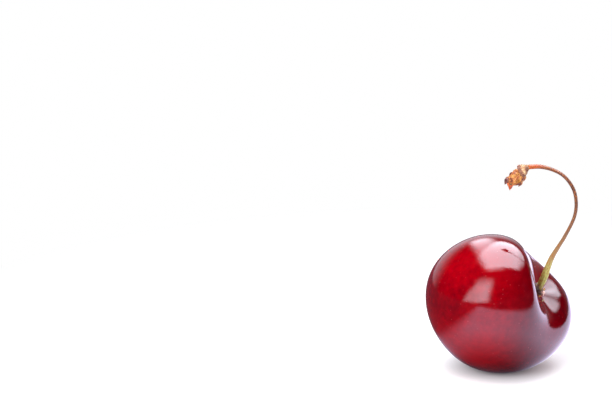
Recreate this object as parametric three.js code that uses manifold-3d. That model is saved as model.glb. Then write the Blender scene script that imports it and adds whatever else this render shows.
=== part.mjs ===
// A ripe sweet cherry lying on its side with its stalk, built at its real size.
//
// Millimetres, +Z up. The origin is on the surface that the cherry lies on, in the middle of the
// flat that the fruit rests on. +X is the side that the stem cavity opens to, and -Y is the front.
//
// The fruit has axes of its own: x across its flatter sides, through the suture line, y across its
// two shoulders, and z up its stem axis, out of the cavity.

import * as THREE from 'three';
import { mergeVertices } from 'three/addons/utils/BufferGeometryUtils.js';
import Module from 'manifold-3d';

const wasm = await Module();
wasm.setup();

// ---- Driving dimensions, in millimetres unless a comment says otherwise ----

// Fruit: the plain body before its shoulders and cavity, out from the middle each way
const HALF_THICKNESS = 11.8;
const HALF_WIDTH = 14.5;
const TOP_HEIGHT = 10.4;
const BOTTOM_HEIGHT = 11.4;
// Power of the sine that swells the body from an ellipsoid (1) towards a drum (0)
const FULLNESS = 0.8;
// How much narrower the body gets towards its bottom end, as a fraction
const BOTTOM_TAPER = 0.02;
// The two shoulders, and how much more the one at +y rises, as a fraction
const SHOULDER_RISE = 1.8;
const HIGHER_SHOULDER = 0.11;
// Stem cavity: a soft dimple, drawn out into a groove on the suture side, and reaching further into
// the higher shoulder than into the other one
const CAVITY_DEPTH = 2.8;
const CAVITY_REACH_SUTURE = 11.0;
const CAVITY_REACH_BACK = 5.6;
const CAVITY_REACH_HIGHER = 5.9;
const CAVITY_REACH_LOWER = 4.3;
// Half the span of a direction's cosine or sine over which one reach passes into its opposite one
const REACH_BLEND = 0.5;
// Dry scar where the flower's style was, a small dent at the bottom pole
const STYLE_SCAR_DEPTH = 0.35;
const STYLE_SCAR_RADIUS = 0.9;

// How the fruit lies, in degrees: the stem axis above level and round from +X, then the suture's roll
const STEM_ELEVATION = 24.3;
const STEM_AZIMUTH = -21.1;
const SUTURE_ROLL = -39.6;
// Middle of the fruit. It is low enough to leave a flat, where the soft fruit bears on the surface.
const FRUIT_CENTRE = [-1.3, -2.0, 12.1];

// Stalk: its centre line from the cavity to the woody foot, and its radii along that line
const STALK_ROUTE = [
  [5.35, -4.65, 15.3],
  [6.2, -5.5, 17.9],
  [7.3, -6.5, 21.7],
  [9.3, -7.6, 25.9],
  [10.7, -8.1, 29.5],
  [10.85, -8.2, 32.0],
  [10.3, -8.1, 34.2],
  [8.75, -7.9, 36.3],
  [7.0, -7.5, 37.3],
  [4.8, -7.0, 37.8],
  [2.9, -6.5, 37.65],
];
const STALK_BASE_RADIUS = 0.72;
const STALK_WAIST_RADIUS = 0.28;
const STALK_FOOT_RADIUS = 0.4;
// Lengths over which the thick base and the flared foot fade into the thin waist
const STALK_BASE_FADE = 7.1;
const STALK_FOOT_FADE = 3.5;
// The neck where the stalk joins the fruit: how much narrower it is, as a fraction, and its length
const STALK_NECK = 0.28;
const STALK_NECK_FADE = 2.0;

// Torn ring of the flower's receptacle round the stalk, deep in the cavity
const RECEPTACLE_RADIUS = 1.25;
const RECEPTACLE_THICKNESS = 0.4;
const RECEPTACLE_LEAN = 0.3;
const RECEPTACLE_LIFT = 0.6;

// Clear space left between pieces that meet
const GAP = 0.06;

// Mesh fineness
const FRUIT_SEGMENTS = 48;
const FRUIT_RINGS = 36;
const STALK_SIDES = 10;
const STALK_STEPS = 44;
const RING_SIDES = 6;
const RING_STEPS = 16;
const LUMP_SEGMENTS = 14;
const LUMP_RINGS = 10;

// The woody foot that came off the twig with the stalk, and the dry bud scales that cling to it.
// Each is a knobbly lump: its centre, its half sizes, its turn about Y in degrees, how knobbly it
// is, and how far its lower end is drawn to a point.
const FOOT_LUMPS = [
  {
    name: 'spur_foot', centre: [1.8, -6.2, 37.0], half: [0.95, 0.85, 1.0], turn: 20,
    knobs: 0.10, point: 0, colour: 0xc79a6b, roughness: 0.75,
  },
  {
    name: 'spur_heel', centre: [0.75, -5.9, 35.45], half: [1.15, 1.0, 1.15], turn: 40,
    knobs: 0.08, point: 0, colour: 0xb06a32, roughness: 0.65,
  },
  {
    name: 'bud_scale_right', centre: [2.2, -5.9, 35.5], half: [0.5, 0.6, 0.5], turn: -30,
    knobs: 0.08, point: 0.2, colour: 0xa05a3c, roughness: 0.65,
  },
  {
    name: 'bud_scale_lower', centre: [1.65, -5.9, 34.5], half: [0.5, 0.6, 0.45], turn: 30,
    knobs: 0.08, point: 0.2, colour: 0xc08040, roughness: 0.65,
  },
  {
    name: 'bud_scale_tip', centre: [-0.6, -5.7, 35.0], half: [0.6, 0.6, 0.6], turn: 50,
    knobs: 0.10, point: 0.3, colour: 0x64404a, roughness: 0.7,
  },
  {
    name: 'bud_scale_point', centre: [-0.1, -5.9, 34.1], half: [0.5, 0.45, 0.7], turn: 10,
    knobs: 0.04, point: 0.8, colour: 0xd2552d, roughness: 0.6,
  },
];

const SKIN_COLOUR = 0x8c0014;
const STALK_COLOUR = 0x9a7a48;
const RECEPTACLE_COLOUR = 0xb08a5a;

const RADIANS = Math.PI / 180;
// Makes sin(a)^2 * ((1 + cos(a)) / 2)^5, which is highest where cos(a) is 5/7, peak at 1
const SHOULDER_NORM = 4.41;

// ---- Helpers ----

// Moves each vertex of a geometry by a function of its own place.
function shaped(geometry, place) {
  const positions = geometry.attributes.position;
  const vertex = new THREE.Vector3();
  for (let i = 0; i < positions.count; i += 1) {
    vertex.fromBufferAttribute(positions, i);
    place(vertex);
    positions.setXYZ(i, vertex.x, vertex.y, vertex.z);
  }
  return geometry;
}

// A unit sphere whose poles are on the z axis.
function uprightSphere(segments, rings) {
  return new THREE.SphereGeometry(1, segments, rings).rotateX(Math.PI / 2);
}

// Keeps only the positions, with each shared vertex stored once.
function welded(geometry) {
  const plain = geometry.clone();
  plain.deleteAttribute('normal');
  plain.deleteAttribute('uv');
  return mergeVertices(plain, 1e-4);
}

function toSolid(geometry) {
  const plain = welded(geometry);
  const mesh = new wasm.Mesh({
    numProp: 3,
    vertProperties: new Float32Array(plain.attributes.position.array),
    triVerts: new Uint32Array(plain.index.array),
  });
  return new wasm.Manifold(mesh);
}

function fromSolid(solid) {
  const mesh = solid.getMesh();
  const geometry = new THREE.BufferGeometry();
  geometry.setAttribute('position', new THREE.BufferAttribute(mesh.vertProperties, 3));
  geometry.setIndex(new THREE.BufferAttribute(mesh.triVerts, 1));
  geometry.computeVertexNormals();
  return geometry;
}

function cut(geometry, tools) {
  let solid = toSolid(geometry);
  for (const tool of tools) {
    solid = solid.subtract(toSolid(tool));
  }
  return fromSolid(solid);
}

function piece(name, geometry, colour, roughness) {
  const material = new THREE.MeshStandardMaterial({ color: colour, roughness, metalness: 0 });
  const mesh = new THREE.Mesh(geometry, material);
  mesh.name = name;
  return mesh;
}

// ---- Fruit ----

// Passes smoothly from one reach to the opposite one as a direction's cosine or sine changes sign.
function reachBetween(negative, positive, component) {
  const share = THREE.MathUtils.smoothstep(component, -REACH_BLEND, REACH_BLEND);
  return THREE.MathUtils.lerp(negative, positive, share);
}

// How far the cavity reaches from the stem axis in the direction whose cosine and sine are given.
function cavityReach(cosine, sine) {
  const along = reachBetween(CAVITY_REACH_BACK, CAVITY_REACH_SUTURE, cosine);
  const across = reachBetween(CAVITY_REACH_LOWER, CAVITY_REACH_HIGHER, sine);
  return Math.hypot(along * cosine, across * sine);
}

// Turns a point of the unit sphere into the point of the skin, in the fruit's own axes.
function placeOnSkin(vertex) {
  const up = THREE.MathUtils.clamp(vertex.z, -1, 1);
  const out = Math.sqrt(1 - up * up);
  const angle = Math.atan2(vertex.y, vertex.x);
  const cosine = Math.cos(angle);
  const sine = Math.sin(angle);
  // 1 at the top pole and 0 at the bottom one
  const topness = (1 + up) / 2;
  const equator = 1 / Math.hypot(cosine / HALF_THICKNESS, sine / HALF_WIDTH);
  const radius = equator * out ** FULLNESS * (1 - BOTTOM_TAPER * (1 - topness) ** 2);
  const body = ((TOP_HEIGHT + BOTTOM_HEIGHT) * up + (TOP_HEIGHT - BOTTOM_HEIGHT) * up ** 2) / 2;
  const shoulder = SHOULDER_RISE * (1 + HIGHER_SHOULDER * sine) * sine ** 2
    * SHOULDER_NORM * out ** 2 * topness ** 5;
  const cavity = CAVITY_DEPTH * topness ** 2
    * Math.exp(-((radius / cavityReach(cosine, sine)) ** 2));
  const scar = STYLE_SCAR_DEPTH * (1 - topness) * Math.exp(-((radius / STYLE_SCAR_RADIUS) ** 2));
  vertex.set(radius * cosine, radius * sine, body + shoulder - cavity + scar);
}

// Where the fruit lies: the turn from its own axes, and the place of its middle.
function fruitPlacement() {
  const level = Math.cos(STEM_ELEVATION * RADIANS);
  const stem = new THREE.Vector3(
    level * Math.cos(STEM_AZIMUTH * RADIANS),
    level * Math.sin(STEM_AZIMUTH * RADIANS),
    Math.sin(STEM_ELEVATION * RADIANS),
  );
  const suture = new THREE.Vector3(0, 0, 1).projectOnPlane(stem).normalize();
  suture.applyAxisAngle(stem, SUTURE_ROLL * RADIANS);
  const shoulders = new THREE.Vector3().crossVectors(stem, suture);
  const turn = new THREE.Matrix4().makeBasis(suture, shoulders, stem);
  return turn.setPosition(...FRUIT_CENTRE);
}

const skin = shaped(uprightSphere(FRUIT_SEGMENTS, FRUIT_RINGS), placeOnSkin);
// The skin lifted by the gap that is left under what stands in the cavity
const skinAbove = skin.clone().translate(0, 0, GAP);
const placement = fruitPlacement();
const backToFruit = placement.clone().invert();

// The skin, cut flat at the height of the surface that it lies on.
function fruitGeometry() {
  const width = 4 * HALF_WIDTH;
  const below = new THREE.BoxGeometry(width, width, width).translate(0, 0, -width / 2);
  below.applyMatrix4(backToFruit);
  return cut(skin, [below]);
}

// ---- Stalk ----

const stalkLine = new THREE.CatmullRomCurve3(
  STALK_ROUTE.map((point) => new THREE.Vector3(...point)),
  false,
  'centripetal',
);

function stalkRadius(along, length) {
  const base = (STALK_BASE_RADIUS - STALK_WAIST_RADIUS) * Math.exp(-((along / STALK_BASE_FADE) ** 2));
  const toFoot = (length - along) / STALK_FOOT_FADE;
  const foot = (STALK_FOOT_RADIUS - STALK_WAIST_RADIUS) * Math.exp(-(toFoot ** 2));
  const neck = 1 - STALK_NECK * Math.exp(-((along / STALK_NECK_FADE) ** 2));
  return (STALK_WAIST_RADIUS + base + foot) * neck;
}

// The tapering stalk, made thicker all round by grow.
function stalkGeometry(grow) {
  const section = new THREE.Shape();
  section.absarc(0, 0, STALK_WAIST_RADIUS, 0, 2 * Math.PI, false);
  const tube = new THREE.ExtrudeGeometry(section, {
    steps: STALK_STEPS,
    extrudePath: stalkLine,
    curveSegments: STALK_SIDES / 2,
  });
  const centres = stalkLine.getSpacedPoints(STALK_STEPS);
  const length = stalkLine.getLength();
  return shaped(tube, (vertex) => {
    const distances = centres.map((centre) => centre.distanceToSquared(vertex));
    const nearest = distances.indexOf(Math.min(...distances));
    const radius = stalkRadius((length * nearest) / STALK_STEPS, length) + grow;
    vertex.sub(centres[nearest]).multiplyScalar(radius / STALK_WAIST_RADIUS).add(centres[nearest]);
  });
}

// The stalk, ending in the shape of the cavity's floor.
function seatedStalkGeometry() {
  return cut(stalkGeometry(0), [skinAbove.clone().applyMatrix4(placement)]);
}

// ---- Receptacle ring, in the fruit's own axes ----

function receptacleGeometry() {
  const floor = TOP_HEIGHT - CAVITY_DEPTH;
  const ring = new THREE.TorusGeometry(
    RECEPTACLE_RADIUS,
    RECEPTACLE_THICKNESS,
    RING_SIDES,
    RING_STEPS,
  );
  ring.translate(0, RECEPTACLE_LEAN, floor + RECEPTACLE_LIFT);
  const thickerStalk = stalkGeometry(GAP).applyMatrix4(backToFruit);
  return cut(ring, [skinAbove, thickerStalk]);
}

// ---- Woody foot and bud scales ----

function lumpGeometry(lump, grow) {
  const geometry = shaped(uprightSphere(LUMP_SEGMENTS, LUMP_RINGS), (vertex) => {
    const angle = Math.atan2(vertex.y, vertex.x);
    const knobbly = 1 + lump.knobs * Math.sin(3 * angle + 4 * vertex.z) * (1 - vertex.z ** 2);
    const narrowing = 1 - lump.point * Math.max(-vertex.z, 0);
    vertex.x *= (lump.half[0] + grow) * knobbly * narrowing;
    vertex.y *= (lump.half[1] + grow) * knobbly * narrowing;
    vertex.z *= lump.half[2] + grow;
  });
  return geometry.rotateY(lump.turn * RADIANS).translate(...lump.centre);
}

// Each lump is cut back where it would meet the stalk or a lump made before it.
function footPieces() {
  const tools = [stalkGeometry(GAP)];
  return FOOT_LUMPS.map((lump) => {
    const mesh = piece(lump.name, cut(lumpGeometry(lump, 0), tools), lump.colour, lump.roughness);
    tools.push(lumpGeometry(lump, GAP));
    return mesh;
  });
}

// ---- The whole cherry ----

const lyingFruit = new THREE.Group();
placement.decompose(lyingFruit.position, lyingFruit.quaternion, lyingFruit.scale);
lyingFruit.add(piece('fruit', fruitGeometry(), SKIN_COLOUR, 0.12));
lyingFruit.add(piece('receptacle_ring', receptacleGeometry(), RECEPTACLE_COLOUR, 0.8));

const cherry = new THREE.Group();
cherry.add(lyingFruit);
cherry.add(piece('stalk', seatedStalkGeometry(), STALK_COLOUR, 0.5));
cherry.add(...footPieces());

export default cherry;
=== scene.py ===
"""A ripe sweet cherry on its stalk, lying on a white studio table.

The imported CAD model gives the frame. Fine pieces replace its plain ones: the glossy skin with its
pale specks, the ridged stalk, the torn ring in the stem cavity, and the woody foot with dry scales.
Lengths are in millimetres until mesh_object turns them into metres.
"""

import math

import bmesh
import bpy
import numpy as np
from mathutils import Matrix, Vector, noise


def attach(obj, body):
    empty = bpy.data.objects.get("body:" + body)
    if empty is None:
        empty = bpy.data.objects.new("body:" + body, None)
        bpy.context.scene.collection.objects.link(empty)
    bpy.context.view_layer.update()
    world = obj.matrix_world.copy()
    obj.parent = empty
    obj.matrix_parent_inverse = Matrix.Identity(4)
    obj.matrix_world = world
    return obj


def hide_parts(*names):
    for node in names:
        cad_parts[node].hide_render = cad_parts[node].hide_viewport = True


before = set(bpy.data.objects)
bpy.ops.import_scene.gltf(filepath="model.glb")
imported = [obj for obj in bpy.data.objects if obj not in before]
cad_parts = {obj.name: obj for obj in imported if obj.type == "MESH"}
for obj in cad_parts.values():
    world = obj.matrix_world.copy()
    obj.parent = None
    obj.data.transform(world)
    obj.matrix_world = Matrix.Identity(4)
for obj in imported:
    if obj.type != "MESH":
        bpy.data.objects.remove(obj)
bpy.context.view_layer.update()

MM = 0.001

# ---- Fruit: the same driving dimensions as the CAD model ----

HALF_THICKNESS = 11.8
HALF_WIDTH = 14.5
TOP_HEIGHT = 10.4
BOTTOM_HEIGHT = 11.4
FULLNESS = 0.8
BOTTOM_TAPER = 0.02
SHOULDER_RISE = 1.8
HIGHER_SHOULDER = 0.11
SHOULDER_NORM = 4.41
SHOULDER_POWER = 5
# The stem cavity's depth, how far it reaches toward the suture, the back and each shoulder, and
# how softly one reach passes into the next
CAVITY_DEPTH = 2.8
CAVITY_REACH_SUTURE = 11.0
CAVITY_REACH_BACK = 5.6
CAVITY_REACH_HIGHER = 5.9
CAVITY_REACH_LOWER = 4.3
REACH_BLEND = 0.5
STYLE_SCAR_DEPTH = 0.35
STYLE_SCAR_RADIUS = 0.9
STEM_ELEVATION = 24.3
STEM_AZIMUTH = -21.1
SUTURE_ROLL = -39.6
FRUIT_CENTRE = Vector((-1.3, -2.0, 12.1))

# Fine shape that only the visual model has. The suture's groove is at its full depth from
# SUTURE_START off the axis
SUTURE_DEPTH = 0.09
SUTURE_HALF_WIDTH = 0.45
SUTURE_START = 4
SKIN_WAVE = 0.07
SKIN_WAVE_LENGTH = 7.0
RESTING_SOFTNESS = 0.25
FRUIT_SEGMENTS = 288
FRUIT_RINGS = 208

# ---- Stalk: the CAD model's route, from the cavity to the woody foot ----

STALK_ROUTE = [
    (5.35, -4.65, 15.3),
    (6.2, -5.5, 17.9),
    (7.3, -6.5, 21.7),
    (9.3, -7.6, 25.9),
    (10.7, -8.1, 29.5),
    (10.85, -8.2, 32.0),
    (10.3, -8.1, 34.2),
    (8.75, -7.9, 36.3),
    (7.0, -7.5, 37.3),
    (4.8, -7.0, 37.8),
    (2.9, -6.5, 37.65),
]
STALK_BASE_RADIUS = 0.72
STALK_WAIST_RADIUS = 0.275
STALK_FOOT_RADIUS = 0.40
STALK_BASE_FADE = 7.1
STALK_FOOT_FADE = 3.5
# Down in the cavity it narrows by this share, over this length
STALK_NECK = 0.28
STALK_NECK_FADE = 2.0

# Fine shape that only the visual model has. Heights are shares of the stalk's radius
STALK_SIDES = 40
STALK_STEPS = 300
# Each set of ridges: how many, how high, their twist in radians to a millimetre, and their start
STALK_RIDGES = [(5, 0.045, 0.12, 0.0), (9, 0.02, -0.2, 1.0)]
# The bumps: their scale round the stalk and along it, and layers of (scale, height)
STALK_BUMPS_ROUND = 2.2
STALK_BUMPS_ALONG = 0.35
STALK_BUMPS = [(1.0, 0.07), (4.3, 0.03)]


# ---- Mesh helpers ----

def mesh_object(name, vertices, faces, smooth=True):
    """A new mesh object from points in millimetres."""
    mesh = bpy.data.meshes.new(name)
    mesh.from_pydata([tuple(MM * np.asarray(v)) for v in vertices], [], faces)
    mesh.update()
    for polygon in mesh.polygons:
        polygon.use_smooth = smooth
    piece = bpy.data.objects.new(name, mesh)
    bpy.context.scene.collection.objects.link(piece)
    return piece


def store_vectors(piece, name, values):
    """Keeps a vector at each vertex, for the materials to read."""
    attribute = piece.data.attributes.new(name, "FLOAT_VECTOR", "POINT")
    attribute.data.foreach_set("vector", np.asarray(values, np.float32).ravel())


def ring_faces(rings, sides):
    """Quads between each ring of vertices and the next."""
    faces = []
    for i in range(rings - 1):
        for j in range(sides):
            a = i * sides + j
            b = i * sides + (j + 1) % sides
            faces.append((a, b, b + sides, a + sides))
    return faces


def end_faces(rings, sides):
    """The two faces that close the first ring and the last."""
    last = (rings - 1) * sides
    return [tuple(reversed(range(sides))), tuple(range(last, last + sides))]


def wave(points, length, seed):
    """Smooth noise between about -1 and 1 at each point, with the given wavelength."""
    shift = Vector((seed, 3.1 * seed, 7.7 * seed))
    return np.array([noise.noise(Vector(p) / length + shift) for p in points])


def layered_noise(point, layers):
    """The noise at a point, as the sum of layers of (scale, height)."""
    return sum(height * noise.noise(point * scale) for scale, height in layers)


def ride_and_replace(piece, slot, *nodes):
    """Ties a piece to the object's one body, and lets it stand for its CAD nodes."""
    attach(piece, "root")
    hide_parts(*nodes)
    return piece


# ---- Fruit ----

def fruit_turn():
    """The fruit's own axes as columns: across the suture, across the shoulders, up the stem."""
    elevation = math.radians(STEM_ELEVATION)
    azimuth = math.radians(STEM_AZIMUTH)
    stem = Vector((
        math.cos(elevation) * math.cos(azimuth),
        math.cos(elevation) * math.sin(azimuth),
        math.sin(elevation),
    ))
    suture = (Vector((0, 0, 1)) - stem * stem.z).normalized()
    suture.rotate(Matrix.Rotation(math.radians(SUTURE_ROLL), 3, stem))
    shoulders = stem.cross(suture)
    return Matrix((suture, shoulders, stem)).transposed()


def reach_between(negative, positive, component):
    """Passes smoothly from one reach to the other as a direction's cosine or sine changes sign."""
    share = np.clip((component + REACH_BLEND) / (2 * REACH_BLEND), 0, 1)
    return negative + (positive - negative) * share * share * (3 - 2 * share)


def skin_point(up, angle):
    """Points of the skin in the fruit's own axes, for arrays of the height cosine and the angle."""
    out = np.sqrt(np.clip(1 - up**2, 0, 1))
    topness = (1 + up) / 2
    cosine, sine = np.cos(angle), np.sin(angle)
    equator = 1 / np.hypot(cosine / HALF_THICKNESS, sine / HALF_WIDTH)
    radius = equator * out**FULLNESS * (1 - BOTTOM_TAPER * (1 - topness) ** 2)
    body = ((TOP_HEIGHT + BOTTOM_HEIGHT) * up + (TOP_HEIGHT - BOTTOM_HEIGHT) * up**2) / 2
    shoulder = SHOULDER_RISE * (1 + HIGHER_SHOULDER * sine) * sine**2
    shoulder = shoulder * SHOULDER_NORM * out**2 * topness**SHOULDER_POWER
    along = reach_between(CAVITY_REACH_BACK, CAVITY_REACH_SUTURE, cosine)
    across = reach_between(CAVITY_REACH_LOWER, CAVITY_REACH_HIGHER, sine)
    reach = np.hypot(along * cosine, across * sine)
    cavity = CAVITY_DEPTH * topness**2 * np.exp(-((radius / reach) ** 2))
    scar = STYLE_SCAR_DEPTH * (1 - topness) * np.exp(-((radius / STYLE_SCAR_RADIUS) ** 2))
    return np.stack([radius * cosine, radius * sine, body + shoulder - cavity + scar], -1)


def make_fruit():
    """The whole fruit's skin. "own" keeps each point's place in the fruit's own axes."""
    polar = np.linspace(0, np.pi, FRUIT_RINGS + 1)[1:-1]
    angle = np.linspace(-np.pi, np.pi, FRUIT_SEGMENTS, endpoint=False)
    grid_polar, grid_angle = np.meshgrid(polar, angle, indexing="ij")
    own = skin_point(np.cos(grid_polar), grid_angle).reshape(-1, 3)
    poles = skin_point(np.array([1.0, -1.0]), np.zeros(2))
    own = np.concatenate([own, poles])

    # The skin isn't perfectly even, and the suture is a faint groove down the +x side
    length = np.linalg.norm(own, axis=1, keepdims=True)
    outward = own / length
    swell = SKIN_WAVE * wave(own, SKIN_WAVE_LENGTH, 1.0)
    groove = np.exp(-((own[:, 1] / SUTURE_HALF_WIDTH) ** 2))
    groove *= np.clip(own[:, 0] / SUTURE_START, 0, 1)
    placed = own + outward * (swell - SUTURE_DEPTH * groove)[:, None]

    turn = np.array(fruit_turn())
    world = placed @ turn.T + np.array(FRUIT_CENTRE)
    world[:, 2] = (world[:, 2] + np.hypot(world[:, 2], RESTING_SOFTNESS)) / 2

    rings = len(polar)
    faces = [tuple(reversed(face)) for face in ring_faces(rings, FRUIT_SEGMENTS)]
    top, bottom = rings * FRUIT_SEGMENTS, rings * FRUIT_SEGMENTS + 1
    last = (rings - 1) * FRUIT_SEGMENTS
    for j in range(FRUIT_SEGMENTS):
        after = (j + 1) % FRUIT_SEGMENTS
        faces.append((top, j, after))
        faces.append((bottom, last + after, last + j))
    piece = mesh_object("cherry_skin", world, faces)
    store_vectors(piece, "own", own)
    return ride_and_replace(piece, "skin", "fruit")


# ---- Stalk ----

ROUTE_FINENESS = 60


def smooth_route(points, steps):
    """Evenly spaced points on a centripetal Catmull-Rom curve, and their distances along it."""
    points = np.array(points, float)
    points = np.vstack([2 * points[0] - points[1], points, 2 * points[-1] - points[-2]])
    fine = []
    for p0, p1, p2, p3 in zip(points, points[1:], points[2:], points[3:]):
        t0, t1, t2, t3 = np.cumsum([0] + [math.sqrt(np.linalg.norm(b - a))
                                          for a, b in ((p0, p1), (p1, p2), (p2, p3))])
        for t in np.linspace(t1, t2, ROUTE_FINENESS, endpoint=False):
            a1 = ((t1 - t) * p0 + (t - t0) * p1) / (t1 - t0)
            a2 = ((t2 - t) * p1 + (t - t1) * p2) / (t2 - t1)
            a3 = ((t3 - t) * p2 + (t - t2) * p3) / (t3 - t2)
            b1 = ((t2 - t) * a1 + (t - t0) * a2) / (t2 - t0)
            b2 = ((t3 - t) * a2 + (t - t1) * a3) / (t3 - t1)
            fine.append(((t2 - t) * b1 + (t - t1) * b2) / (t2 - t1))
    fine = np.array(fine + [points[-2]])
    travelled = np.concatenate([[0], np.cumsum(np.linalg.norm(np.diff(fine, axis=0), axis=1))])
    even = np.linspace(0, travelled[-1], steps)
    return np.stack([np.interp(even, travelled, fine[:, k]) for k in range(3)], -1), even


def route_frames(centres):
    """Two directions across the curve at each point, turning as little as possible along it."""
    tangents = np.gradient(centres, axis=0)
    tangents /= np.linalg.norm(tangents, axis=1, keepdims=True)
    side = np.cross(tangents[0], (0, 1, 0))
    sides = []
    for tangent in tangents:
        side = side - tangent * side.dot(tangent)
        side /= np.linalg.norm(side)
        sides.append(side)
    sides = np.array(sides)
    return sides, np.cross(tangents, sides)


def stalk_radius(along, length):
    """The radius at a distance along the stalk: thick low down and at the foot, with a neck."""
    base = (STALK_BASE_RADIUS - STALK_WAIST_RADIUS) * np.exp(-((along / STALK_BASE_FADE) ** 2))
    to_foot = (length - along) / STALK_FOOT_FADE
    foot = (STALK_FOOT_RADIUS - STALK_WAIST_RADIUS) * np.exp(-(to_foot**2))
    neck = 1 - STALK_NECK * np.exp(-((along / STALK_NECK_FADE) ** 2))
    return (STALK_WAIST_RADIUS + base + foot) * neck


def make_stalk():
    """The ridged stalk, and its length. "grain" keeps the way round it and along it."""
    centres, along = smooth_route(STALK_ROUTE, STALK_STEPS)
    sides, ups = route_frames(centres)
    length = along[-1]
    vertices, grain = [], []
    for i in range(STALK_STEPS):
        radius = stalk_radius(along[i], length)
        for j in range(STALK_SIDES):
            angle = 2 * math.pi * j / STALK_SIDES
            ridge = sum(height * math.cos(count * angle + twist * along[i] + start)
                        for count, height, twist, start in STALK_RIDGES)
            place = Vector((STALK_BUMPS_ROUND * math.cos(angle),
                            STALK_BUMPS_ROUND * math.sin(angle),
                            STALK_BUMPS_ALONG * along[i]))
            reach = radius * (1 + ridge + layered_noise(place, STALK_BUMPS))
            across = math.cos(angle) * sides[i] + math.sin(angle) * ups[i]
            vertices.append(centres[i] + reach * across)
            grain.append((math.cos(angle), math.sin(angle), along[i]))
    faces = ring_faces(STALK_STEPS, STALK_SIDES) + end_faces(STALK_STEPS, STALK_SIDES)
    piece = mesh_object("cherry_stalk", vertices, faces)
    store_vectors(piece, "grain", grain)
    return ride_and_replace(piece, "stalk", "stalk"), length


# ---- The torn ring in the cavity, with its crumbs ----

# The ring: its middle line's radius, its half width and half height, how far its middle is above
# the cavity's floor, and how far it leans toward the higher shoulder
RING_RADIUS = 0.92
RING_HALF_WIDTH = 0.24
RING_HALF_HEIGHT = 0.48
RING_LIFT = 0.50
RING_LEAN = 0.3
# The ring's near-black colour is its torn tissue, made darker still by the cavity's shade painted
# in
RING_COLOUR_WITH_PAINTED_SHADE = (0.030, 0.010, 0.006)
RING_STEPS = 90
RING_SIDES = 16
# How its section is torn, as layers of (scale, height)
RING_TEARS = [(2.6, 0.5), (7.1, 0.4)]

# Crumbs of torn receptacle round the stalk's base, in the fruit's own axes: the middle, the half
# size and the colour
CRUMBS = [
    ((-0.74, -0.10, 8.52), (0.44, 0.42, 0.52), (1.00, 0.66, 0.60)),
    ((-0.98, -0.02, 8.00), (0.30, 0.32, 0.22), (1.00, 0.46, 0.08)),
    ((0.30, -0.88, 8.66), (0.24, 0.16, 0.16), (0.90, 0.48, 0.18)),
    ((0.72, -1.40, 8.60), (0.22, 0.12, 0.12), (0.30, 0.12, 0.06)),
    ((-1.70, -0.85, 8.12), (0.22, 0.18, 0.24), (0.58, 0.42, 0.26)),
    ((-1.10, 0.45, 8.10), (0.24, 0.26, 0.22), (0.24, 0.11, 0.05)),
    ((0.25, 1.30, 8.25), (0.26, 0.22, 0.24), (0.34, 0.18, 0.08)),
    ((1.10, 0.40, 8.15), (0.22, 0.24, 0.20), (0.62, 0.36, 0.18)),
]
CRUMB_SUBDIVISIONS = 4
# The height of a crumb's bumps as a share of its size, their wavelength, and the first seed
CRUMB_ROUGHNESS = 0.3
CRUMB_GRAIN = 0.22
CRUMB_SEED = 20.0


def crumb_points(centre, half, seed):
    """Points and faces of a rough crumb, with bumps and creases."""
    ball = bmesh.new()
    bmesh.ops.create_icosphere(ball, subdivisions=CRUMB_SUBDIVISIONS, radius=1)
    ball.verts.ensure_lookup_table()
    unit = np.array([v.co for v in ball.verts])
    faces = [tuple(v.index for v in face.verts) for face in ball.faces]
    ball.free()
    size = unit * np.array(half)
    bumps = wave(size, CRUMB_GRAIN, seed) + 0.5 * wave(size, CRUMB_GRAIN / 2.1, seed + 5)
    creases = np.clip(0.35 - np.abs(wave(size, CRUMB_GRAIN * 1.3, seed + 9)), 0, 1)
    placed = size * (1 + CRUMB_ROUGHNESS * (bumps - 1.2 * creases))[:, None]
    return placed + np.array(centre), faces


def make_receptacle():
    """The torn ring round the stalk, with its crumbs, in one piece. "tint" keeps its colours."""
    middle = TOP_HEIGHT - CAVITY_DEPTH + RING_LIFT
    points, faces = [], []
    for i in range(RING_STEPS):
        angle = 2 * math.pi * i / RING_STEPS
        following = (i + 1) % RING_STEPS * RING_SIDES
        for j in range(RING_SIDES):
            around = 2 * math.pi * j / RING_SIDES
            seat = Vector((math.cos(angle), math.sin(angle), 0.3 * j))
            torn = 1 + layered_noise(seat, RING_TEARS)
            out = RING_RADIUS + RING_HALF_WIDTH * torn * math.cos(around)
            height = middle + RING_HALF_HEIGHT * torn * math.sin(around)
            points.append((out * math.cos(angle), RING_LEAN + out * math.sin(angle), height))
            beside = (j + 1) % RING_SIDES
            faces.append((i * RING_SIDES + j, following + j, following + beside,
                          i * RING_SIDES + beside))
    tints = [RING_COLOUR_WITH_PAINTED_SHADE] * len(points)
    for k, (centre, half, colour) in enumerate(CRUMBS):
        crumb, crumb_faces = crumb_points(centre, half, CRUMB_SEED + k)
        faces += [tuple(v + len(points) for v in face) for face in crumb_faces]
        points += [tuple(p) for p in crumb]
        tints += [colour] * len(crumb)
    turn = np.array(fruit_turn())
    world = np.array(points) @ turn.T + np.array(FRUIT_CENTRE)
    piece = mesh_object("receptacle_torn_ring", world, faces)
    store_vectors(piece, "tint", tints)
    return ride_and_replace(piece, "torn_cork", "receptacle_ring")


# ---- The woody foot and the dry scales ----

LOFT_ROWS = 90
LOFT_SIDES = 96
# The least way that a section takes along the body, so that flat ends keep some rows
LOFT_LEAST_STEP = 0.08
LOFT_SMOOTHINGS = 3
# The bumps of bark, as (scale, height)
BARK_BUMPS = [(1.5, 1.0), (4.2, 0.5)]

SCALE_ROWS = 40
SCALE_COLUMNS = 32
SCALE_THICKNESS = 0.14
# How uneven a scale's outline is, how crumpled its face is, and the ribs along it
SCALE_RAGGEDNESS = 0.10
SCALE_CRUMPLE = 0.05
SCALE_RIBS = 9
SCALE_RIB_HEIGHT = 0.02


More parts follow.
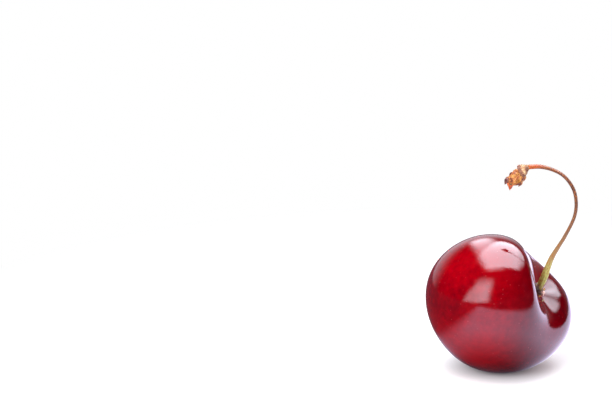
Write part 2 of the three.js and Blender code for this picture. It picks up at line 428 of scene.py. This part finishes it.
def make_lofted(name, slot, node, sections, ridges, ridge_height, rough, seed):
    """A woody body through (place, radius) sections, with ridges along it and a rough surface.

    "course" keeps each point's direction across the body and its way along it.
    """
    places = np.array([place for place, radius in sections], float)
    steps = np.linalg.norm(np.diff(places, axis=0), axis=1)
    knots = np.concatenate([[0], np.cumsum(np.maximum(steps, LOFT_LEAST_STEP))])
    way = np.linspace(0, knots[-1], LOFT_ROWS)
    centres = np.stack([np.interp(way, knots, places[:, k]) for k in range(3)], -1)
    radii = np.interp(way, knots, [radius for place, radius in sections])
    for _ in range(LOFT_SMOOTHINGS):
        centres[1:-1] = (centres[:-2] + 2 * centres[1:-1] + centres[2:]) / 4
        radii[1:-1] = (radii[:-2] + 2 * radii[1:-1] + radii[2:]) / 4
    axis = places[-1] - places[0]
    axis /= np.linalg.norm(axis)
    side = np.cross(axis, (0, 1, 0))
    side /= np.linalg.norm(side)
    up = np.cross(axis, side)
    vertices, course = [], []
    shifts = (Vector((seed, 0, 0)), Vector((0, seed, 0)))
    for i in range(LOFT_ROWS):
        for j in range(LOFT_SIDES):
            angle = 2 * math.pi * j / LOFT_SIDES
            across = math.cos(angle) * side + math.sin(angle) * up
            drift = noise.noise(Vector((0.9 * way[i], math.cos(angle), math.sin(angle) + seed)))
            ridge = ridge_height * math.cos(ridges * angle + 2.5 * drift)
            point = centres[i] + across * radii[i]
            bump = sum(height * noise.noise(Vector(point) * scale + shift)
                       for (scale, height), shift in zip(BARK_BUMPS, shifts))
            point = point + across * radii[i] * (ridge + rough * bump)
            vertices.append(point)
            course.append((math.cos(angle), math.sin(angle), way[i] / way[-1]))
    faces = ring_faces(LOFT_ROWS, LOFT_SIDES) + end_faces(LOFT_ROWS, LOFT_SIDES)
    piece = mesh_object(name, vertices, faces)
    store_vectors(piece, "course", course)
    return ride_and_replace(piece, slot, node)


def make_scale(name, slot, node, base, tip, outward, half_width, bulge, seed, pointed=False):
    """A dry bud scale: a thin curved shell from its base to its tip, bulging outward.

    u runs from its base to its tip, and v across it.
    """
    base, tip, outward = np.array(base), np.array(tip), np.array(outward, float)
    length = np.linalg.norm(tip - base)
    along = (tip - base) / length
    outward -= along * outward.dot(along)
    outward /= np.linalg.norm(outward)
    across = np.cross(along, outward)
    rows, columns = SCALE_ROWS, SCALE_COLUMNS
    sheets = []
    for face in (1, -1):
        for i in range(rows + 1):
            u = i / rows
            width = (1 - u) ** 0.8 if pointed else math.sin(math.pi * (0.2 + 0.8 * u)) ** 0.7
            for j in range(columns + 1):
                v = 2 * j / columns - 1
                curl = bulge * math.sin(math.pi * (0.12 + 0.8 * u)) * (1 - 0.9 * v * v)
                ragged = 1 + SCALE_RAGGEDNESS * noise.noise(Vector((2.5 * u, 3 * v, seed)))
                point = base + along * length * u * ragged
                point = point + across * half_width * width * v * ragged
                lift = curl + SCALE_CRUMPLE * noise.noise(Vector((5 * u, 4 * v, seed + 3)))
                lift += SCALE_RIB_HEIGHT * math.cos(SCALE_RIBS * v + seed)
                lift += face * SCALE_THICKNESS / 2 * (1 - 0.75 * v**4) * (1 - 0.7 * u**6)
                sheets.append(point + outward * lift)
    faces = []
    stride = columns + 1
    lower = (rows + 1) * stride
    for i in range(rows):
        for j in range(columns):
            a = i * stride + j
            faces.append((a, a + stride, a + stride + 1, a + 1))
            faces.append((lower + a, lower + a + 1, lower + a + stride + 1, lower + a + stride))

    # The rim joins the outer sheet to the inner one
    rim = list(range(columns))
    rim += [i * stride + columns for i in range(rows)]
    rim += [rows * stride + j for j in range(columns, 0, -1)]
    rim += [i * stride for i in range(rows, 0, -1)]
    for a, b in zip(rim, rim[1:] + rim[:1]):
        faces.append((a, b, lower + b, lower + a))
    return ride_and_replace(mesh_object(name, sheets, faces), slot, node)


# The foot flares like a small trumpet from the stalk to a rim, and closes in across its face
FOOT_SECTIONS = [
    ((3.15, -6.55, 37.70), 0.36),
    ((2.85, -6.47, 37.62), 0.42),
    ((2.50, -6.38, 37.47), 0.60),
    ((2.15, -6.28, 37.24), 0.86),
    ((1.88, -6.20, 37.04), 1.05),
    ((1.66, -6.15, 36.86), 1.16),
    ((1.54, -6.12, 36.76), 1.10),
    ((1.46, -6.10, 36.68), 0.80),
    ((1.40, -6.10, 36.62), 0.30),
]
HEEL_SECTIONS = [
    ((1.75, -6.10, 36.95), 0.55),
    ((1.45, -6.05, 36.50), 0.92),
    ((1.15, -6.00, 36.05), 1.06),
    ((0.80, -5.95, 35.60), 1.16),
    ((0.50, -5.90, 35.25), 1.12),
    ((0.15, -5.87, 34.98), 0.95),
    ((-0.20, -5.85, 34.80), 0.66),
    ((-0.45, -5.85, 34.68), 0.25),
]
SCALES = [
    dict(name="bud_scale_right_dry", slot="scale_amber", node="bud_scale_right",
         base=(2.10, -6.05, 36.35), tip=(2.05, -5.85, 35.05), outward=(0.9, -0.35, -0.3),
         half_width=0.75, bulge=0.42, seed=3.0),
    dict(name="bud_scale_lower_dry", slot="scale_amber", node="bud_scale_lower",
         base=(1.85, -5.95, 35.35), tip=(1.30, -5.9, 34.20), outward=(0.8, -0.3, -0.5),
         half_width=0.72, bulge=0.34, seed=5.0),
    dict(name="bud_scale_tip_dry", slot="scale_dark", node="bud_scale_tip",
         base=(-0.42, -5.75, 35.70), tip=(-0.90, -5.8, 34.50), outward=(-0.95, -0.2, 0.2),
         half_width=0.72, bulge=0.34, seed=7.0),
    dict(name="bud_scale_point_dry", slot="scale_red", node="bud_scale_point",
         base=(-0.12, -6.55, 34.85), tip=(-0.15, -6.05, 33.52), outward=(-0.1, -1.0, -0.2),
         half_width=0.62, bulge=0.16, seed=9.0, pointed=True),
]


# ---- Materials ----

class Nodes:
    """Adds and joins the shader nodes of a material or a world with few words."""

    def __init__(self, owner, shader="Principled BSDF"):
        owner.use_nodes = True
        self.owner = owner
        self.tree = owner.node_tree
        self.shader = self.tree.nodes[shader]

    def add(self, kind, **settings):
        node = self.tree.nodes.new(kind)
        for key, value in settings.items():
            setattr(node, key, value)
        return node

    def join(self, source, target):
        self.tree.links.new(source, target)

    def feed(self, socket, value):
        """Links an output to a socket, or sets the socket to a plain value."""
        if isinstance(value, bpy.types.NodeSocket):
            self.join(value, socket)
        else:
            socket.default_value = value

    def attribute(self, name, output="Vector"):
        return self.add("ShaderNodeAttribute", attribute_name=name).outputs[output]

    def place(self):
        """The point's own place, in millimetres."""
        return self.scaled(self.add("ShaderNodeTexCoord").outputs["Object"], (1 / MM,) * 3)

    def vector_math(self, operation, vector, other, output="Vector"):
        node = self.add("ShaderNodeVectorMath", operation=operation)
        self.join(vector, node.inputs[0])
        node.inputs[1].default_value = other
        return node.outputs[output]

    def scaled(self, vector, scale):
        return self.vector_math("MULTIPLY", vector, scale)

    def dot(self, vector, direction):
        return self.vector_math("DOT_PRODUCT", vector, direction, "Value")

    def distance(self, vector, point):
        return self.vector_math("DISTANCE", vector, point, "Value")

    def axis(self, vector, name):
        node = self.add("ShaderNodeSeparateXYZ")
        self.join(vector, node.inputs[0])
        return node.outputs[name]

    def noise(self, vector, scale, detail=3.0, roughness=0.55, distortion=0.0):
        """Noise between 0 and 1, with scale bumps to a unit of the vector."""
        node = self.add("ShaderNodeTexNoise")
        self.join(vector, node.inputs["Vector"])
        node.inputs["Scale"].default_value = scale
        node.inputs["Detail"].default_value = detail
        node.inputs["Roughness"].default_value = roughness
        node.inputs["Distortion"].default_value = distortion
        return node.outputs["Fac"]

    def math(self, operation, a, b=0.0):
        node = self.add("ShaderNodeMath", operation=operation)
        self.feed(node.inputs[0], a)
        self.feed(node.inputs[1], b)
        return node.outputs[0]

    def span(self, value, low, high, to_low=0.0, to_high=1.0, smooth=True):
        """Maps low..high to to_low..to_high, and holds it beyond them."""
        kind = "SMOOTHSTEP" if smooth else "LINEAR"
        node = self.add("ShaderNodeMapRange", interpolation_type=kind)
        self.feed(node.inputs["Value"], value)
        node.inputs["From Min"].default_value = low
        node.inputs["From Max"].default_value = high
        node.inputs["To Min"].default_value = to_low
        node.inputs["To Max"].default_value = to_high
        return node.outputs["Result"]

    def ramp(self, value, stops):
        """Colours a value by its (place, colour) stops."""
        node = self.add("ShaderNodeValToRGB")
        self.join(value, node.inputs[0])
        ramp = node.color_ramp
        ramp.elements[0].position, ramp.elements[0].color = stops[0][0], (*stops[0][1], 1)
        ramp.elements[1].position, ramp.elements[1].color = stops[-1][0], (*stops[-1][1], 1)
        for place, colour in stops[1:-1]:
            ramp.elements.new(place).color = (*colour, 1)
        return node.outputs["Color"]

    def mix(self, factor, a, b):
        """Goes from colour a to colour b as the factor goes from 0 to 1."""
        node = self.add("ShaderNodeMix", data_type="RGBA")
        self.feed(node.inputs["Factor"], factor)
        for socket, value in ((node.inputs[6], a), (node.inputs[7], b)):
            self.feed(socket, value if isinstance(value, bpy.types.NodeSocket) else (*value, 1))
        return node.outputs[2]

    def mix_shaders(self, factor, a, b):
        node = self.add("ShaderNodeMixShader")
        for socket, value in zip(node.inputs, (factor, a, b)):
            self.join(value, socket)
        return node.outputs[0]

    def product(self, *factors):
        result = factors[0]
        for factor in factors[1:]:
            result = self.math("MULTIPLY", result, factor)
        return result

    def total(self, *terms):
        result = terms[0]
        for term in terms[1:]:
            result = self.math("ADD", result, term)
        return result

    def bump(self, height, distance, strength, normal=None):
        node = self.add("ShaderNodeBump")
        self.join(height, node.inputs["Height"])
        node.inputs["Distance"].default_value = distance
        node.inputs["Strength"].default_value = strength
        if normal is not None:
            self.join(normal, node.inputs["Normal"])
        return node.outputs["Normal"]


# The skin's specks: cells to a millimetre, the largest one's radius in cells, and how pale
# they are
SPECK_SCALE = 1.6
SPECK_RADIUS = 0.16
SPECK_PALENESS = 0.32


def skin_material():
    """Crimson skin, deeper toward the stem, with pale specks, the suture line and a waxy gloss."""
    n = Nodes(bpy.data.materials.new("cherry_skin"))
    own = n.attribute("own")

    # Crimson, brighter and darker in broad patches, with a soft mottle
    cheek = n.noise(own, 0.06, 1.5)
    mottle = n.noise(own, 0.9, 4.0, 0.6)
    depth = n.total(n.product(cheek, 0.7), n.product(mottle, 0.3))
    red = n.ramp(depth, [
        (0.36, (0.130, 0.0, 0.003)),
        (0.50, (0.240, 0.0, 0.0035)),
        (0.62, (0.360, 0.0, 0.004)),
    ])

    # It is darker toward the stem end
    darker_to_stem = n.span(n.axis(own, "Z"), 0.5, 10.5, 0.0, 0.66, smooth=False)
    red = n.mix(darker_to_stem, red, (0.030, 0.0, 0.0016))

    # Pale specks of a few sizes, each a lenticel in the skin
    cells = n.add("ShaderNodeTexVoronoi", feature="F1")
    n.join(own, cells.inputs["Vector"])
    cells.inputs["Scale"].default_value = SPECK_SCALE
    size = n.axis(cells.outputs["Color"], "X")
    size = n.span(size, 0.25, 1.0, 0.0, SPECK_RADIUS, smooth=False)
    speck = n.math("SUBTRACT", size, cells.outputs["Distance"])
    speck = n.span(speck, -0.05, 0.05)
    red = n.mix(n.product(speck, SPECK_PALENESS), red, (0.60, 0.07, 0.07))

    # The suture is a thin darker line down the +x side
    line = n.span(n.math("ABSOLUTE", n.axis(own, "Y")), 0.1, 0.7, 1.0, 0.0)
    line = n.product(line, n.span(n.axis(own, "X"), 2.0, 6.0), 0.35)
    red = n.mix(line, red, (0.05, 0.0006, 0.004))

    # The style scar is a small dry brown spot at the bottom pole
    scar = n.span(n.distance(own, (0, 0, -BOTTOM_HEIGHT)), 0.45, 0.75, 1.0, 0.0)
    red = n.mix(scar, red, (0.16, 0.07, 0.035))
    n.join(red, n.shader.inputs["Base Color"])

    # Waxy gloss, dulled a little here and there by a fine bloom
    bloom = n.noise(own, 0.7, 3.0)
    n.join(n.span(bloom, 0.35, 0.7, 0.07, 0.12), n.shader.inputs["Roughness"])
    n.shader.inputs["IOR"].default_value = 1.45
    n.shader.inputs["Subsurface Weight"].default_value = 0.12
    n.shader.inputs["Subsurface Radius"].default_value = (1.0, 0.12, 0.08)
    n.shader.inputs["Subsurface Scale"].default_value = 1.2 * MM

    # Specks are tiny dents, over a very fine pebbling
    pebble = n.noise(own, 3.2, 2.0)
    fine = n.bump(pebble, 0.02 * MM, 0.5)
    dents = n.bump(n.math("SUBTRACT", 1.0, speck), 0.015 * MM, 0.5, fine)
    n.join(dents, n.shader.inputs["Normal"])
    return n.owner


def stalk_material(length):
    """Yellow-green at the fruit, then brown, and orange at the foot, with spots and streaks."""
    n = Nodes(bpy.data.materials.new("cherry_stalk"))
    grain = n.attribute("grain")
    along = n.math("DIVIDE", n.axis(grain, "Z"), length)
    streak = n.noise(n.scaled(grain, (1.6, 1.6, 0.35)), 2.0, 4.0)
    fleck = n.noise(n.scaled(grain, (1.2, 1.2, 1.1)), 2.4, 3.0)
    place = n.total(along, n.product(n.math("SUBTRACT", streak, 0.5), 0.16))
    colour = n.ramp(place, [
        (0.00, (0.050, 0.028, 0.008)),
        (0.03, (0.200, 0.140, 0.030)),
        (0.06, (0.470, 0.500, 0.110)),
        (0.17, (0.460, 0.440, 0.130)),
        (0.24, (0.290, 0.185, 0.080)),
        (0.45, (0.150, 0.068, 0.036)),
        (0.70, (0.085, 0.029, 0.019)),
        (0.90, (0.120, 0.036, 0.017)),
        (0.96, (0.340, 0.055, 0.008)),
        (1.00, (0.380, 0.085, 0.015)),
    ])
    spots = n.span(fleck, 0.53, 0.59)
    colour = n.mix(n.product(spots, 0.8), colour, (0.34, 0.10, 0.014))
    pale = n.span(streak, 0.55, 0.75)
    colour = n.mix(n.product(pale, 0.22), colour, (0.56, 0.46, 0.24))
    n.join(colour, n.shader.inputs["Base Color"])
    n.join(n.span(fleck, 0.3, 0.7, 0.38, 0.58), n.shader.inputs["Roughness"])
    fibre = n.noise(n.scaled(grain, (4.0, 4.0, 0.4)), 2.2, 3.0)
    n.join(n.bump(fibre, 0.05 * MM, 0.7), n.shader.inputs["Normal"])
    return n.owner


def cork_material():
    """The torn tissue in the cavity: each crumb's own colour, the ring's colour with painted shade,
    and a dark grain.
    """
    n = Nodes(bpy.data.materials.new("torn_cork"))
    tint = n.attribute("tint", "Color")
    grain = n.noise(n.place(), 3.5, 4.0)
    n.join(n.mix(n.span(grain, 0.35, 0.7, 0.0, 0.5), tint, (0.10, 0.035, 0.015)),
           n.shader.inputs["Base Color"])
    n.join(n.span(grain, 0.3, 0.7, 0.5, 0.8), n.shader.inputs["Roughness"])
    n.join(n.bump(grain, 0.08 * MM, 0.8), n.shader.inputs["Normal"])
    return n.owner


def bark_material(name, stops, roughness, face=None, spot_and_painted_shade=None):
    """Dry bark or scale: patches of the given colours, with fine cracks.

    face is a part's far end in another colour, as (how far along it starts, colour).
    spot_and_painted_shade is a deeper coloured spot, as (place, radius, colour); it serves for a
    spot of the bark's own colour and for a hollow's shade painted in where the body has no dent.
    """
    n = Nodes(bpy.data.materials.new(name))
    place = n.place()
    patches = n.noise(place, 1.1, 2.5, 0.5, 0.3)
    colour = n.ramp(patches, stops)
    if face:
        start, face_colour = face
        way = n.total(n.axis(n.attribute("course"), "Z"), n.product(patches, 0.16))
        colour = n.mix(n.span(way, start, start + 0.12, 0.0, 0.85), colour, face_colour)
    if spot_and_painted_shade:
        middle, radius, spot_and_shade_colour = spot_and_painted_shade
        near = n.span(n.distance(place, middle), 0.4 * radius, radius, 0.85, 0.0)
        colour = n.mix(near, colour, spot_and_shade_colour)
    fine = n.noise(place, 4.0, 3.0)
    colour = n.mix(n.span(fine, 0.5, 0.8, 0.0, 0.35), colour, stops[0][1])
    n.join(colour, n.shader.inputs["Base Color"])
    n.join(n.span(fine, 0.3, 0.7, roughness - 0.1, roughness + 0.1),
           n.shader.inputs["Roughness"])
    n.join(n.bump(fine, 0.05 * MM, 0.7), n.shader.inputs["Normal"])
    return n.owner


# ---- Build the cherry ----

fruit = make_fruit()
fruit.data.materials.append(skin_material())
stalk, stalk_length = make_stalk()
stalk.data.materials.append(stalk_material(stalk_length))
receptacle = make_receptacle()
receptacle.data.materials.append(cork_material())

bark = {
    "spur_wood": bark_material("spur_wood", [
        (0.36, (0.17, 0.075, 0.05)), (0.48, (0.42, 0.23, 0.12)), (0.62, (0.62, 0.38, 0.21)),
    ], 0.7, face=(0.68, (0.17, 0.062, 0.045))),
    # The heel's deeper amber spot is the painted shade of a hollow that the heel's shape doesn't
    # have
    "scale_amber": bark_material("scale_amber", [
        (0.34, (0.10, 0.03, 0.018)), (0.47, (0.33, 0.10, 0.035)), (0.62, (0.55, 0.25, 0.07)),
    ], 0.55, spot_and_painted_shade=((1.05, -7.0, 35.25), 0.55, (0.26, 0.09, 0.006))),
    "scale_dark": bark_material("scale_dark", [
        (0.35, (0.05, 0.018, 0.016)), (0.50, (0.15, 0.055, 0.045)), (0.65, (0.26, 0.13, 0.11)),
    ], 0.65),
    # The red scale's small dark green spot is its own colour
    "scale_red": bark_material("scale_red", [
        (0.32, (0.22, 0.035, 0.018)), (0.48, (0.50, 0.09, 0.025)), (0.65, (0.62, 0.17, 0.045)),
    ], 0.5, spot_and_painted_shade=((-0.1, -6.7, 34.75), 0.38, (0.035, 0.05, 0.015))),
}
foot = make_lofted("spur_foot_bark", "spur_wood", "spur_foot", FOOT_SECTIONS,
                   ridges=11, ridge_height=0.035, rough=0.14, seed=2.0)
foot.data.materials.append(bark["spur_wood"])
heel = make_lofted("spur_heel_bark", "scale_amber", "spur_heel", HEEL_SECTIONS,
                   ridges=8, ridge_height=0.05, rough=0.16, seed=4.0)
heel.data.materials.append(bark["scale_amber"])
for scale in SCALES:
    piece = make_scale(**scale)
    piece.data.materials.append(bark[scale["slot"]])


# ---- Table, light and camera ----

CAMERA_PLACE = Vector((-34.8, -287.6, 98.7))
CAMERA_PITCH = 13.5
CAMERA_LENS = 100
CAMERA_SENSOR = 36
CAMERA_NEAR = 10


def make_camera():
    """Looks along +y, pitched down a little."""
    data = bpy.data.cameras.new("camera")
    data.lens = CAMERA_LENS
    data.sensor_width = CAMERA_SENSOR
    data.clip_start = CAMERA_NEAR * MM
    camera = bpy.data.objects.new("camera", data)
    camera.location = CAMERA_PLACE * MM
    camera.rotation_euler = (math.radians(90 - CAMERA_PITCH), 0, 0)
    bpy.context.scene.collection.objects.link(camera)
    bpy.context.scene.camera = camera


TABLE_HALF = 1500
TABLE_COLOUR = (0.92, 0.93, 0.95)
# Where the fruit touches it the table's colour holds a painted shadow, which thins out between
# these distances
PAINTED_SHADOW_COLOUR = (0.12, 0.07, 0.10)
PAINTED_SHADOW_FADE = (2.5, 11.0)
# The light that the table throws back onto matt things, and its own glow to the camera
TABLE_BOUNCE = (0.12, 0.12, 0.13)
TABLE_GLOW = 0.3
TABLE_GLOW_COLOUR = (0.97, 0.98, 1.0, 1)
# The lit sheet that the gloss sees: its dim patch under the fruit, and its dark edges as
# (the way to it, where it starts and ends, what it does to the light)
SHEET_COLOUR = (1.0, 0.97, 1.34, 1)
SHEET_STRENGTH = 2.4
SHEET_DIM_MIDDLE = (-3, -5, 0)
SHEET_DIM = (4, 22, 0.03, 1.0)
SHEET_EDGES = [
    ((0.68, -0.73, 0), (42, 60, 1.0, 0.02)),
    ((0.92, -0.39, 0), (-20, -4, 0.04, 1.0)),
]
# Between these distances it turns as white as the backdrop that it runs into
TABLE_TO_BACKDROP = (55, 120)


def make_floor():
    """A white table top, with a painted shadow in its colour where the fruit touches it.

    The gloss sees it as a lit sheet: dim under the fruit, and dark past its front right edge and
    where other things would stand on the left.
    """
    corners = [(x * TABLE_HALF, y * TABLE_HALF, 0) for x, y in ((-1, -1), (1, -1), (1, 1), (-1, 1))]
    floor = mesh_object("table_top", corners, [(0, 1, 2, 3)], smooth=False)
    n = Nodes(bpy.data.materials.new("table_top"))
    path = n.add("ShaderNodeLightPath").outputs
    place = n.place()
    away = n.distance(place, (0, 0, 0))

    # What the camera and matt things see; the camera sees a painted shadow round the fruit
    outside_painted_shadow = n.span(away, *PAINTED_SHADOW_FADE, smooth=False)
    seen_with_painted_shadow = n.mix(outside_painted_shadow, PAINTED_SHADOW_COLOUR, TABLE_COLOUR)
    paper = n.mix(path["Is Diffuse Ray"], seen_with_painted_shadow, TABLE_BOUNCE)
    n.join(paper, n.shader.inputs["Base Color"])
    n.shader.inputs["Roughness"].default_value = 0.9
    n.shader.inputs["Specular IOR Level"].default_value = 0.1
    n.shader.inputs["Emission Color"].default_value = TABLE_GLOW_COLOUR
    # The glow is held back in the painted shadow round the fruit as well
    glow = n.product(path["Is Camera Ray"], outside_painted_shadow, TABLE_GLOW)
    n.join(glow, n.shader.inputs["Emission Strength"])

    # What the gloss sees
    dim = n.span(n.distance(place, SHEET_DIM_MIDDLE), *SHEET_DIM)
    edges = [n.span(n.dot(place, way), *fade) for way, fade in SHEET_EDGES]
    sheet = n.add("ShaderNodeEmission")
    sheet.inputs["Color"].default_value = SHEET_COLOUR
    n.join(n.product(dim, *edges, SHEET_STRENGTH), sheet.inputs["Strength"])
    surface = n.mix_shaders(path["Is Glossy Ray"], n.shader.outputs[0], sheet.outputs[0])

    # Far from the fruit, where the table is as white as the backdrop
    hidden = n.math("SUBTRACT", 1.0, path["Is Glossy Ray"])
    far = n.product(n.span(away, *TABLE_TO_BACKDROP), hidden)
    surface = n.mix_shaders(far, surface, n.add("ShaderNodeEmission").outputs[0])
    n.join(surface, n.tree.nodes["Material Output"].inputs["Surface"])
    floor.data.materials.append(n.owner)


# Soft lights for the matt look of things: the name, place, target, size and power in watts
AREA_LIGHTS = [
    ("overhead", (-20, 20, 330), (0, 0, 10), (420, 380), 0.60),
    ("left_front", (-165, -215, 110), (0, 0, 12), (150, 150), 1.2),
    ("right", (250, -80, 45), (0, 0, 12), (120, 120), 0.75),
]


def area_light(name, place, target, size, power):
    """A white light that neither the camera nor the gloss sees."""
    data = bpy.data.lights.new(name, "AREA")
    data.shape = "RECTANGLE"
    data.size, data.size_y = size[0] * MM, size[1] * MM
    data.energy = power
    light = bpy.data.objects.new(name, data)
    light.location = Vector(place) * MM
    aim = Vector(target) - Vector(place)
    light.rotation_euler = aim.to_track_quat("-Z", "Y").to_euler()
    light.visible_camera = False
    light.visible_glossy = False
    bpy.context.scene.collection.objects.link(light)


# The softbox overhead, as seen from the fruit, over its height: each edge is the way to it, how
# far it is and how soft it is. It is dimmer on its right, and a dimmer strip hangs below its
# front left. Neither reaches down to the horizon
SOFTBOX_EDGES = [
    ((-1, 0), 0.43, 0.12),
    ((0, -1), 0.54, 0.08),
    ((1, 0), 1.75, 0.30),
    ((0, 1), 1.30, 0.25),
    ((0.776, -0.631), 0.98, 0.25),
    ((-0.884, 0.467), 0.50, 0.12),
]
SOFTBOX_STRENGTH = 12.0
SOFTBOX_DIMMER = (0.5, 1.2, 1.0, 0.55)
PANEL_RISE = (0.25, 0.5)
STRIP_EDGES = [((-1, 0), 0.40, 0.12), ((0, -1), 0.66, 0.12), ((1, 0), 0.04, 0.16)]
STRIP_STRENGTH = 6.0
# The window at the front left: the way to it, and where its soft edges are over its distance.
# Its left edge slants inward as it rises, and it is brighter on its right
WINDOW_AZIMUTH = -33
WINDOW_LEFT = (-0.47, -0.31)
WINDOW_SLANT = (-0.05, 0.5, 0.0, -0.24)
WINDOW_RIGHT = (0.23, 0.40, 1.0, 0.0)
WINDOW_TOP = (0.40, 0.95, 1.0, 0.0)
WINDOW_SHADING = (-0.25, 0.25, 0.65, 1.0)
WINDOW_AHEAD = (0.05, 0.2)
WINDOW_STRENGTH = 7.0
# The backdrop: where it is along x, y and z of the way to it
BACKDROP_SPANS = [("X", (0.1, 0.5, 1.0, 0.35)), ("Y", (0.35, 0.9)), ("Z", (0.2, 0.6, 1.0, 0.0))]
# The even light that matt things get from all round, and the studio's tint
AMBIENT = 0.35
STUDIO_TINT = (1.0, 1.0, 1.12, 1)
# The least height or depth of a way that anything is divided by
LEAST_DIVISOR = 0.02


def make_world():
    """The studio: white to the camera, even for matt things, lights in the dark for the gloss."""
    world = bpy.data.worlds.new("studio")
    bpy.context.scene.world = world
    n = Nodes(world, "Background")
    way = n.add("ShaderNodeTexCoord").outputs["Generated"]
    rise = n.axis(way, "Z")

    # Overhead softbox and its dimmer strip
    high = n.math("MAXIMUM", rise, LEAST_DIVISOR)
    across = n.math("DIVIDE", n.axis(way, "X"), high)
    back = n.math("DIVIDE", n.axis(way, "Y"), high)

    def panel(edges):
        inside = [n.span(rise, *PANEL_RISE)]
        for (x, y), far, soft in edges:
            out = n.total(n.product(across, x), n.product(back, y))
            inside.append(n.span(out, far - soft, far + soft, 1.0, 0.0))
        return n.product(*inside)

    dimmer = n.span(across, *SOFTBOX_DIMMER)
    softbox = n.math("MAXIMUM", n.product(panel(SOFTBOX_EDGES), dimmer, SOFTBOX_STRENGTH),
                     n.product(panel(STRIP_EDGES), STRIP_STRENGTH))

    # Window at the front left
    turn = math.radians(WINDOW_AZIMUTH)
    ahead = n.dot(way, (math.sin(turn), -math.cos(turn), 0))
    right = n.dot(way, (math.cos(turn), math.sin(turn), 0))
    front = n.math("MAXIMUM", ahead, LEAST_DIVISOR)
    side = n.math("DIVIDE", right, front)
    height = n.math("DIVIDE", rise, front)
    slanted = n.total(side, n.span(height, *WINDOW_SLANT, smooth=False))
    window = n.product(
        n.span(slanted, *WINDOW_LEFT),
        n.span(side, *WINDOW_RIGHT),
        n.span(height, *WINDOW_TOP),
        n.span(side, *WINDOW_SHADING),
        n.span(ahead, *WINDOW_AHEAD),
        WINDOW_STRENGTH,
    )

    # The pale backdrop behind, low down and dimmer on the right
    backdrop = n.product(*(n.span(n.axis(way, name), *fade) for name, fade in BACKDROP_SPANS))

    path = n.add("ShaderNodeLightPath").outputs
    n.join(n.total(
        n.product(n.total(softbox, window, backdrop), path["Is Glossy Ray"]),
        n.product(path["Is Diffuse Ray"], AMBIENT),
        path["Is Camera Ray"],
    ), n.shader.inputs["Strength"])
    n.shader.inputs["Color"].default_value = STUDIO_TINT


make_camera()
make_floor()
make_world()
for light in AREA_LIGHTS:
    area_light(*light)

bpy.context.scene.view_settings.view_transform = "Standard"
